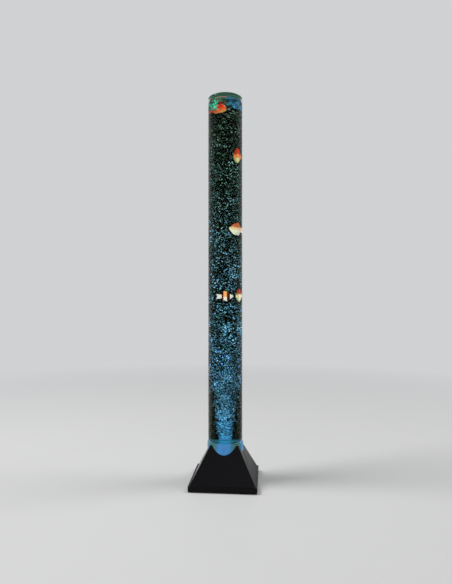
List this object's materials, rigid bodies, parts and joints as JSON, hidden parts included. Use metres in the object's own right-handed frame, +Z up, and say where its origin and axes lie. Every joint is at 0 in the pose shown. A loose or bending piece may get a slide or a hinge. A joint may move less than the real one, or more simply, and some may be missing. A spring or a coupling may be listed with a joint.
{
  "type": "bubble tube floor lamp",
  "caption": "Tall clear water tube lit from below, with drifting fish and rising bubbles, held in the neck of a square pyramid base that houses the air pump.",
  "frame": {"origin": "on the floor under the axis of the tube, at the underside of the feet", "axes": "+Z up along the tube; -Y is the front face of the base, +Y the face with the buttons and the power jack; +X to the viewer's right"},
  "size_m": [0.205, 0.205, 1.2],
  "materials": {
    "base_plastic": "moulded black, satin to gloss",
    "inner_plastic": "moulded dark grey",
    "screw_steel": "zinc plated",
    "rubber_feet": "soft rubber",
    "rubber_black": "soft rubber",
    "cup_plastic": "translucent moulded plastic",
    "clear_tube": "polished clear acrylic",
    "clear_floor": "clear acrylic",
    "lid_plastic": "translucent moulded plastic",
    "air_stone": "porous sintered mineral",
    "pale_plastic": "moulded natural plastic",
    "blue_plastic": "moulded blue",
    "hose_silicone": "milky silicone",
    "core_steel": "stacked laminations",
    "copper_winding": "enamelled copper wire",
    "arm_aluminium": "stamped strip",
    "magnet_grey": "sintered ferrite",
    "light_board_white": "white solder mask",
    "led_lens": "clear light lens",
    "board_green": "green solder mask",
    "parts_black": "moulded black",
    "button_plastic": "satin moulded",
    "jack_plastic": "moulded black",
    "lead_red": "wire insulation",
    "lead_black": "wire insulation",
    "fish_coral": "painted moulded plastic",
    "fish_sunset": "painted moulded plastic",
    "fish_butter": "painted moulded plastic",
    "fish_striped": "painted moulded plastic",
    "fish_tall": "painted moulded plastic"
  },
  "bodies": {
    "stand": {"base_shell": "base_plastic", "bottom_cover": "inner_plastic", "cover_screws": "screw_steel", "rubber_feet": "rubber_feet", "tube_plate": "inner_plastic", "plate_screws": "screw_steel", "foot_cup": "cup_plastic", "tube": "clear_tube", "tube_floor": "clear_floor", "air_stone": "air_stone", "air_nozzle": "pale_plastic", "nozzle_seal": "rubber_black", "nozzle_nut": "pale_plastic", "upper_hose": "hose_silicone", "lower_hose": "hose_silicone", "check_valve_body": "pale_plastic", "check_valve_cap": "blue_plastic", "check_valve_flap": "rubber_black", "pump_case": "inner_plastic", "pump_tray": "inner_plastic", "pump_screws": "screw_steel", "pump_pads": "rubber_black", "pump_core": "core_steel", "pump_bobbin": "pale_plastic", "pump_coil": "copper_winding", "pump_arm_pin": "screw_steel", "pump_diaphragm": "rubber_black", "pump_valve_box": "pale_plastic", "pump_valve_flaps": "rubber_black", "pump_outlet": "pale_plastic", "light_board": "light_board_white", "lights": "led_lens", "light_board_screws": "screw_steel", "control_board": "board_green", "control_parts": "parts_black", "tact_switches": "parts_black", "power_jack": "jack_plastic", "jack_nut": "screw_steel", "light_leads": "lead_red", "pump_leads": "lead_black", "jack_leads": "lead_red"},
    "lid": {"top_lid": "lid_plastic"},
    "light_key": {"light_button": "button_plastic", "light_plunger": "pale_plastic"},
    "bubble_key": {"bubble_button": "button_plastic", "bubble_plunger": "pale_plastic"},
    "pump_rocker": {"pump_arm": "arm_aluminium", "pump_magnet": "magnet_grey"},
    "coral_swimmer": {"coral_fish": "fish_coral"},
    "sunset_swimmer": {"sunset_fish": "fish_sunset"},
    "butter_swimmer": {"butter_fish": "fish_butter"},
    "striped_swimmer": {"striped_fish": "fish_striped"},
    "tall_swimmer": {"tall_fish": "fish_tall"}
  },
  "joints": [
    {"name": "lid_lift", "type": "slide", "parent": "stand", "child": "lid", "axis": [0, 0, 1], "range_m": [0, 0.08]},
    {"name": "light_button_press", "type": "slide", "parent": "stand", "child": "light_key", "axis": [0, -1, 0], "range_m": [0, 0.0005], "stiffness_N_per_m": 1200, "springref_m": -0.0008},
    {"name": "bubble_button_press", "type": "slide", "parent": "stand", "child": "bubble_key", "axis": [0, -1, 0], "range_m": [0, 0.0005], "stiffness_N_per_m": 1200, "springref_m": -0.0008},
    {"name": "pump_arm_swing", "type": "hinge", "parent": "stand", "child": "pump_rocker", "pos_m": [-0.034, -0.05242, 0.025], "axis": [0, 0, 1], "range_deg": [-1.2, 1.2], "stiffness_Nm_per_rad": 1, "deforming": ["pump_diaphragm"]},
    {"name": "coral_fish_drift", "type": "slide", "parent": "stand", "child": "coral_swimmer", "axis": [0, 0, 1], "range_m": [-1, 0]},
    {"name": "sunset_fish_drift", "type": "slide", "parent": "stand", "child": "sunset_swimmer", "axis": [0, 0, 1], "range_m": [-0.08, 0.13]},
    {"name": "butter_fish_drift", "type": "slide", "parent": "stand", "child": "butter_swimmer", "axis": [0, 0, 1], "range_m": [-0.08, 0.09]},
    {"name": "striped_fish_drift", "type": "slide", "parent": "stand", "child": "striped_swimmer", "axis": [0, 0, 1], "range_m": [-0.41, 0.58]},
    {"name": "tall_fish_drift", "type": "slide", "parent": "stand", "child": "tall_swimmer", "axis": [0, 0, 1], "range_m": [-0.41, 0.07]}
  ]
}
